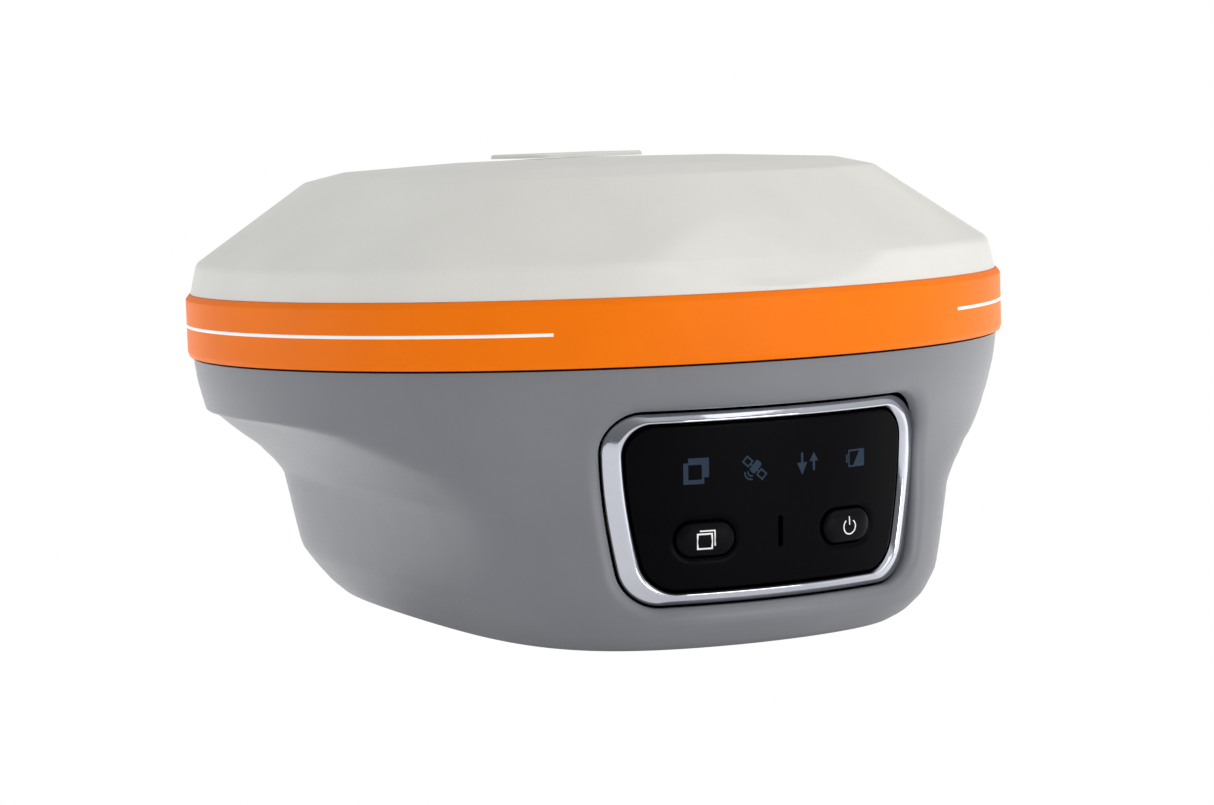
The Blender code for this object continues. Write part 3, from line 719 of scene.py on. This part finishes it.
ICON_Z = 30.5                               # height of the row of status icons
PANEL_PRINT = (panel_height, "panel_black", "icon_blue")
printed("icon_correction", [
    rectangle((-1.68, -0.3), (0.86, 3.6), 0.05, 2), rectangle((0.13, -1.73), (2.76, 0.74), 0.05, 2),
    rectangle((0.55, 1.73), (3.6, 1.14), 0.05, 2),
    [(1.1, -1.36), (1.5, -1.36), (1.5, -1.0), (2.35, -1.0), (2.35, 1.16), (1.1, 1.16)]],
    (-15.4, ICON_Z), *PANEL_PRINT)
printed("icon_satellite", [rectangle((0.0, 0.25), (1.35, 2.4), 0.3, 3), stroke((-1.0, 0.0), (-0.6, 0.0), 0.3),
                           stroke((0.6, 0.0), (1.0, 0.0), 0.3), arc(0.0, -1.0, 0.7, 0.3, 205, 335),
                           arc(0.0, -1.1, 1.25, 0.3, 215, 325)]
        + frame_of(-2.7, -0.8, -1.0, 0.8, 0.32) + frame_of(1.0, -0.8, 2.7, 0.8, 0.32),
        (-4.8, ICON_Z), *PANEL_PRINT, size=0.93, lean=-42.0)
printed("icon_radio", [stroke((-1.15, 0.1), (-1.15, 1.9), 0.45), [(-2.2, 0.2), (-1.15, -1.9), (-0.1, 0.2)],
                       stroke((1.25, -1.3), (1.25, 0.4), 0.45), [(2.15, 0.3), (1.25, 1.8), (0.35, 0.3)]],
        (5.5, ICON_Z), *PANEL_PRINT)
printed("icon_battery", frame_of(-1.6, -1.5, 2.1, 1.5, 0.28) + [
    rectangle((-1.95, 0.0), (0.34, 1.5), 0.1, 2), [(0.95, 1.22), (1.82, 1.22), (1.82, -1.22), (-0.5, -1.22)]],
    (15.9, ICON_Z), *PANEL_PRINT)


def dome_height(side):
    """Height of a key's top above the keypad surface."""
    def at(s, z):
        straight = (KEY_SIZE[0] - KEY_SIZE[1]) / 2
        across = max(abs(s - side * KEY_S) - straight, 0.0)
        inward = KEY_SIZE[1] / 2 - math.hypot(across, z - KEY_Z)
        return float(np.interp(-inward, [g for g, _ in DOME], [h for _, h in DOME]))
    return at


printed("symbol_function", frame_of(-1.7, -1.65, 1.05, 1.1, 0.27) + [
    stroke((-1.15, 1.48), (1.55, 1.48), 0.22), stroke((1.44, 1.37), (1.44, -1.1), 0.22)],
    (-KEY_S, KEY_Z), dome_height(-1), "key_black", "symbol_white", "function_key")
printed("symbol_power", [arc(0.0, -0.15, 1.3, 0.22, 125, 415, 32), stroke((0.0, 0.15), (0.0, 1.6), 0.22)],
        (KEY_S, KEY_Z), dome_height(1), "key_black", "symbol_white", "power_key")

# ---------------------------------------------------------------- port door, sockets, whip socket and its cap
door = bmesh.new()
skin(door, [back_loop(t, d) for t, d in (
    (0.3, 2.3), (0.3, 0.55), (0.36, 0.3), (0.5, 0.12), (0.75, 0.05), (2.2, 0.05), (2.3, 0.15), (2.45, 0.25),
    (2.6, 0.15), (2.7, 0.05), (4.5, 0.05))])
add("door_skin", door, "seal_rubber", "port_door", stands_for=["port_door"])
bay_rim = bmesh.new()
skin(bay_rim, [[(x, y, z) for x, z in rectangle((0, 22.4), size, r)] for size, r, y in (
    ((26.4, 10.4), 2.2, 69.2), ((26.4, 10.4), 2.2, 66.0), ((26.0, 10.0), 2.0, 65.6), ((24.4, 8.4), 1.4, 65.6),
    ((24.0, 8.0), 1.2, 66.0), ((24.0, 8.0), 1.2, 69.2))], closed=True)
add("door_plug", bay_rim, "seal_rubber", "port_door")
add("door_pull", skin(bmesh.new(), [
    [back_point(s, z, d) for s, z in rectangle((0.0, 28.3), (w, h), h / 2 - 0.01, 6)]
    for w, h, d in ((9.0, 1.9, 0.2), (9.0, 1.9, -0.2), (8.7, 1.6, -0.42), (8.0, 0.9, -0.5))]),
    "seal_rubber", "port_door")
add("usb_tongue", skin(bmesh.new(), [
    [(x, y, z) for x, z in rectangle((-6.5, 22.5), (6.2, 0.7), 0.2, 3)] for y in (58.9, 61.4, 61.6)]),
    "dark_plastic")
pins = bmesh.new()
for k in range(5):
    t = math.radians(90 + 72 * k)
    skin(pins, [[(7.0 + 1.9 * math.cos(t) + r * math.cos(u), y, 22.5 + 1.9 * math.sin(t) + r * math.sin(u))
                 for u in (2 * math.pi * i / 12 for i in range(12))]
                for r, y in ((0.3, 59.3), (0.3, 60.9), (0.12, 61.2))])
add("data_pins", pins, "brass")

barrel = [along_socket(r, d) for r, d in ((2.0, 69.0), (3.1, 69.1), (3.2, 69.4), (3.2, 72.9), (3.5, 73.2),
                                          (4.1, 73.2), (4.5, 72.9))]
for k in range(6):
    top = 72.6 - 0.8 * k
    barrel += [along_socket(r, top - d) for r, d in ((4.8, 0.0), (4.8, 0.15), (4.45, 0.4), (4.45, 0.55))]
barrel += [along_socket(r, d) for r, d in ((4.8, 67.6), (4.8, 67.4), (7.7, 67.4), (7.9, 67.2), (7.9, 64.6))]
add("whip_barrel", skin(bmesh.new(), barrel), "brass", stands_for=["whip_socket"])


def ribbed(radius):
    """Radius with fine ribs round it, for the cap's grip."""
    return lambda t: radius - 0.16 * max(0.0, math.cos(30 * t)) ** 2


add("whip_dust_cap", skin(bmesh.new(), [along_socket(r, d, 360) for r, d in (
    (2.0, 73.6), (4.9, 73.6), (5.0, 73.4), (5.15, 68.0), (6.7, 68.0), (6.95, 68.3), (6.95, 69.2),
    (ribbed(6.95), 69.5), (ribbed(6.85), 73.9), (6.8, 74.2), (6.7, 74.6), (6.45, 75.0), (6.0, 75.2),
    (3.9, 75.2), (3.7, 75.0), (3.5, 74.95), (1.0, 74.95))]), "seal_rubber", "whip_cap",
    stands_for=["whip_cap"])

# ---------------------------------------------------------------- stage, lights and camera
DIM_SIDE = (-0.6, -0.8, 0.0)                # the side of the room that gives least light


def facing_dim_side(tree):
    """Cosine of the angle between a floor point's bearing and the room's dim side."""
    bearing, cosine = tree.nodes.new("ShaderNodeVectorMath"), tree.nodes.new("ShaderNodeVectorMath")
    bearing.operation, cosine.operation = "NORMALIZE", "DOT_PRODUCT"
    tree.links.new(tree.nodes.new("ShaderNodeTexCoord").outputs["Object"], bearing.inputs[0])
    tree.links.new(bearing.outputs["Vector"], cosine.inputs[0])
    cosine.inputs[1].default_value = DIM_SIDE
    return cosine.outputs["Value"]


def ranged(tree, value, low, high, to_low, to_high):
    """Smooth step of a value from one range to another."""
    node = tree.nodes.new("ShaderNodeMapRange")
    node.interpolation_type = "SMOOTHSTEP"
    for name, number in (("From Min", low), ("From Max", high), ("To Min", to_low), ("To Max", to_high)):
        node.inputs[name].default_value = number
    tree.links.new(value, node.inputs["Value"])
    return node.outputs["Result"]


def paper_floor():
    """Pale paper that looks evenly lit, so that it runs into the white surround; clear from below."""
    look = bpy.data.materials.new("floor_look")
    look.use_nodes = True
    tree = look.node_tree
    new, link = tree.nodes.new, tree.links.new
    paper = tree.nodes["Principled BSDF"]
    paper.inputs["Base Color"].default_value = (0.8, 0.8, 0.8, 1.0)
    paper.inputs["Roughness"].default_value = 0.9
    paper.inputs["Emission Color"].default_value = (1.0, 1.0, 1.0, 1.0)
    link(ranged(tree, facing_dim_side(tree), -0.2, 0.8, 1.0, 0.34), paper.inputs["Emission Strength"])
    lit, choice = new("ShaderNodeEmission"), new("ShaderNodeMixShader")
    link(new("ShaderNodeLightPath").outputs["Is Camera Ray"], choice.inputs["Fac"])
    link(paper.outputs["BSDF"], choice.inputs[1])
    link(lit.outputs["Emission"], choice.inputs[2])
    under = new("ShaderNodeMixShader")
    link(new("ShaderNodeNewGeometry").outputs["Backfacing"], under.inputs["Fac"])
    link(choice.outputs["Shader"], under.inputs[1])
    link(new("ShaderNodeBsdfTransparent").outputs["BSDF"], under.inputs[2])
    link(under.outputs["Shader"], tree.nodes["Material Output"].inputs["Surface"])
    return look


FLOOR_HALF, FLOOR_Z = 30.0, -0.0002         # in metres; just clear of the object's flat underside
floor_mesh = bpy.data.meshes.new("floor")
floor_corners = [(x * FLOOR_HALF, y * FLOOR_HALF, FLOOR_Z) for x, y in ((-1, -1), (1, -1), (1, 1), (-1, 1))]
floor_mesh.from_pydata(floor_corners, [], [(0, 1, 2, 3)])
floor_mesh.materials.append(paper_floor())
floor = bpy.data.objects.new("floor", floor_mesh)
bpy.context.scene.collection.objects.link(floor)


def studio_world():
    """White surround; as a light source it is dimmer on one side, like the open side of a light tent."""
    world = bpy.data.worlds.new("studio")
    world.use_nodes = True
    tree = world.node_tree
    new, link = tree.nodes.new, tree.links.new
    sky = tree.nodes["Background"]
    ray = new("ShaderNodeTexCoord").outputs["Generated"]
    facing = new("ShaderNodeVectorMath")
    facing.operation = "DOT_PRODUCT"
    facing.inputs[1].default_value = DIM_SIDE
    link(ray, facing.inputs[0])
    apart = new("ShaderNodeSeparateXYZ")
    link(ray, apart.inputs[0])

    dim = ranged(tree, facing.outputs["Value"], 0.05, 0.65, 0.0, 1.0)
    low = ranged(tree, apart.outputs["Z"], 0.25, 0.7, 1.0, 0.0)
    both = new("ShaderNodeMath")
    both.operation = "MULTIPLY"
    link(dim, both.inputs[0])
    link(low, both.inputs[1])
    shade = ranged(tree, both.outputs[0], 0.0, 1.0, 1.0, 0.4)
    glow = new("ShaderNodeMath")
    glow.operation = "MULTIPLY"
    link(ranged(tree, apart.outputs["Z"], 0.0, 0.6, 0.56, 0.86), glow.inputs[0])
    link(shade, glow.inputs[1])
    seen = new("ShaderNodeMix")
    link(new("ShaderNodeLightPath").outputs["Is Camera Ray"], seen.inputs["Factor"])
    link(glow.outputs[0], seen.inputs["A"])
    seen.inputs["B"].default_value = 1.0
    sky.inputs["Color"].default_value = (1.0, 1.0, 1.0, 1.0)
    link(seen.outputs["Result"], sky.inputs["Strength"])
    return world


bpy.context.scene.world = studio_world()


def softbox(name, spot, aim, size, power, tint=(1.0, 1.0, 1.0)):
    """Rectangular light at a spot, turned to an aim; metres and watts."""
    data = bpy.data.lights.new(name, "AREA")
    data.shape, data.size, data.size_y, data.energy = "RECTANGLE", size[0], size[1], power
    data.color = tint
    lamp = bpy.data.objects.new(name, data)
    lamp.location = spot
    lamp.rotation_mode = "QUATERNION"
    lamp.rotation_quaternion = (Vector(aim) - Vector(spot)).to_track_quat("-Z", "Y")
    bpy.context.scene.collection.objects.link(lamp)


softbox("key_light", (0.55, -0.70, 0.80), (0, 0, 0.06), (1.2, 0.55), 2.5)
softbox("right_light", (0.3, -1.08, 0.08), (0, 0, 0.02), (0.7, 0.3), 5.0)
softbox("left_light", (-1.05, 0.35, 0.06), (0, 0, 0.02), (0.5, 0.4), 3.4, (0.84, 0.92, 1.0))

VIEW_HEADING, VIEW_PITCH, VIEW_ROLL = 26.087, 4.908, -1.959     # in degrees
VIEW_FROM, LENS, SENSOR = (-0.2569, -0.5290, 0.0873), 92.76, 36.0
heading, pitch = math.radians(VIEW_HEADING), math.radians(VIEW_PITCH)
view = Vector((math.sin(heading) * math.cos(pitch), math.cos(heading) * math.cos(pitch), -math.sin(pitch)))
camera_data = bpy.data.cameras.new("camera")
camera_data.lens, camera_data.sensor_width = LENS, SENSOR
camera_data.clip_start, camera_data.clip_end = 0.01, 100.0
camera = bpy.data.objects.new("camera", camera_data)
camera.location = VIEW_FROM
camera.rotation_mode = "QUATERNION"
camera.rotation_quaternion = view.to_track_quat("-Z", "Y") @ Quaternion((0, 0, 1), math.radians(VIEW_ROLL))
bpy.context.scene.collection.objects.link(camera)
bpy.context.scene.camera = camera
bpy.context.scene.view_settings.view_transform = "Standard"
